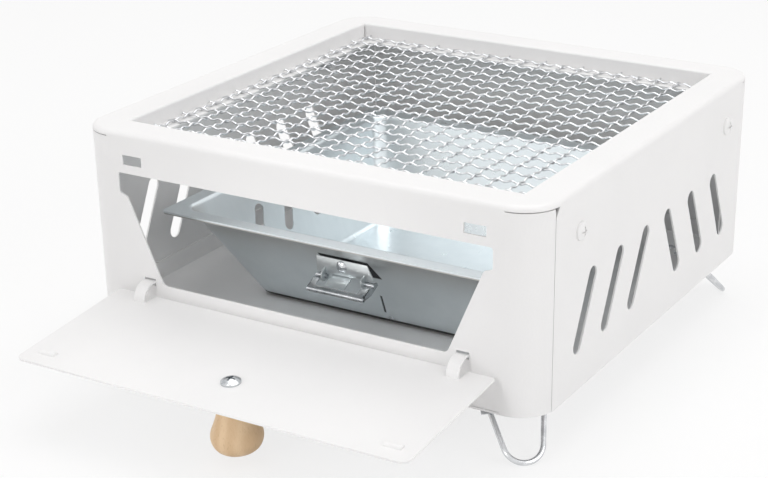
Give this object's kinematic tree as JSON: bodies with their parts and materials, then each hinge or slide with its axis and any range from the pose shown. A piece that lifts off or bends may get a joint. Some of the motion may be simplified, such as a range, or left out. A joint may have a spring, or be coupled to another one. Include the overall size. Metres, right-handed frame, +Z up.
{
  "type": "portable charcoal grill",
  "caption": "Folded white sheet-metal table grill: crimped wire grate, drop-down front door with wooden knob, lift-out charcoal pan with folding pull, folding wire legs.",
  "frame": {"origin": "on the ground under the middle of the footprint, with the door down", "axes": "+X to the right seen from the door, +Y from the door towards the back, +Z up"},
  "size_m": [0.2856, 0.3683, 0.1404],
  "materials": {
    "white_paint": "smooth satin heat-resistant paint",
    "zinc_sheet": "galvanised, satin",
    "plated_steel": "bright zinc plate",
    "bright_wire": "bright plated wire",
    "beech": "sanded, unvarnished"
  },
  "bodies": {
    "grill_body": {"body_shell": "white_paint", "base_plate": "white_paint", "grate_frame": "white_paint", "frame_screws": "white_paint", "frame_nuts": "plated_steel", "saddle_rivets": "plated_steel", "front_right_saddle": "plated_steel", "rear_right_saddle": "plated_steel", "rear_left_saddle": "plated_steel", "front_left_saddle": "plated_steel"},
    "door": {"door": "white_paint", "knob": "beech", "knob_screw": "plated_steel"},
    "pan": {"charcoal_pan": "zinc_sheet", "pan_handle_plate": "zinc_sheet", "pan_handle_rivet": "plated_steel"},
    "pull": {"pan_pull": "plated_steel", "pull_pins": "plated_steel"},
    "grate": {"grate_cross_wires": "bright_wire", "grate_long_wires": "bright_wire"},
    "front_right_leg": {"front_right_leg": "bright_wire"},
    "rear_right_leg": {"rear_right_leg": "bright_wire"},
    "rear_left_leg": {"rear_left_leg": "bright_wire"},
    "front_left_leg": {"front_left_leg": "bright_wire"}
  },
  "joints": [
    {"name": "door_hinge", "type": "hinge", "parent": "grill_body", "child": "door", "pos_m": [0, -0.09828, 0.04896], "axis": [-1, 0, 0], "range_deg": [0, 94.9]},
    {"name": "pan_slide", "type": "slide", "parent": "grill_body", "child": "pan", "axis": [0, 0.91, -0.4147], "range_m": [-0.064, 0]},
    {"name": "pull_hinge", "type": "hinge", "parent": "pan", "child": "pull", "pos_m": [0, -0.05573, 0.06377], "axis": [-1, 0, 0], "range_deg": [0, 80]},
    {"name": "grate_lift", "type": "slide", "parent": "grill_body", "child": "grate", "axis": [0, 0, 1], "range_m": [0, 0.05]},
    {"name": "front_right_leg_hinge", "type": "hinge", "parent": "grill_body", "child": "front_right_leg", "pos_m": [0.1132, -0.06988, 0.02761], "axis": [0.7431, 0.6691, 0], "range_deg": [0, 127]},
    {"name": "rear_right_leg_hinge", "type": "hinge", "parent": "grill_body", "child": "rear_right_leg", "pos_m": [0.1132, 0.15652, 0.02761], "axis": [-0.7431, 0.6691, 0], "range_deg": [0, 127]},
    {"name": "rear_left_leg_hinge", "type": "hinge", "parent": "grill_body", "child": "rear_left_leg", "pos_m": [-0.1132, 0.15652, 0.02761], "axis": [-0.7431, -0.6691, 0], "range_deg": [0, 127]},
    {"name": "front_left_leg_hinge", "type": "hinge", "parent": "grill_body", "child": "front_left_leg", "pos_m": [-0.1132, -0.06988, 0.02761], "axis": [0.7431, -0.6691, 0], "range_deg": [0, 127]}
  ]
}
